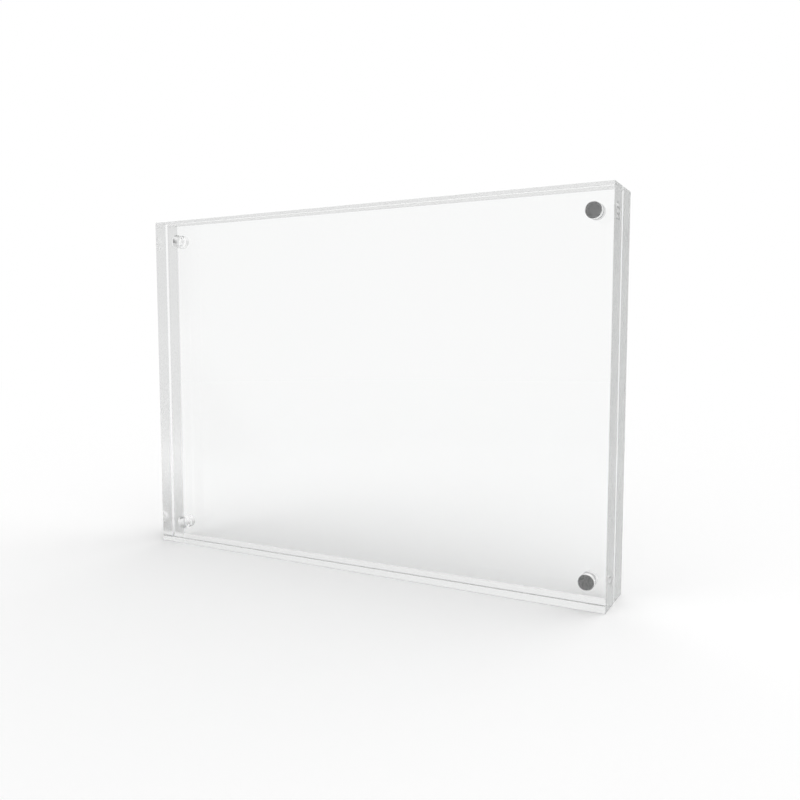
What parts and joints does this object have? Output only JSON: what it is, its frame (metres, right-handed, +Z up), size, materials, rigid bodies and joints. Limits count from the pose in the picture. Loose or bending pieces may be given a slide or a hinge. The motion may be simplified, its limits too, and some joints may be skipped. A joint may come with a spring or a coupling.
{
  "type": "acrylic block frame",
  "caption": "Free-standing clear block photo frame: two thick polished acrylic slabs held face to face by disc magnets in their right-hand corners, with a narrow gap for a print.",
  "frame": {"origin": "middle of the frame's underside: half way along its width and half way between its front and back faces, on the surface it stands on", "axes": "+X towards the right edge seen from the front, +Y from front to back, +Z up"},
  "size_m": [0.179, 0.021, 0.127],
  "materials": {
    "acrylic": "clear cast acrylic, all faces and edges polished",
    "nickel": "satin nickel plating on a sintered magnet",
    "clear_glue": "thin film of clear adhesive"
  },
  "bodies": {
    "back": {"back_block": "acrylic", "back_magnet_top_right": "nickel", "back_magnet_bottom_right": "nickel", "back_glue_top_right": "clear_glue", "back_glue_bottom_right": "clear_glue"},
    "front": {"front_block": "acrylic", "front_magnet_top_right": "nickel", "front_magnet_bottom_right": "nickel", "front_glue_top_right": "clear_glue", "front_glue_bottom_right": "clear_glue"}
  },
  "joints": [
    {"name": "pull_off", "type": "slide", "parent": "back", "child": "front", "axis": [0, -1, 0], "range_m": [0, 0.04]}
  ]
}
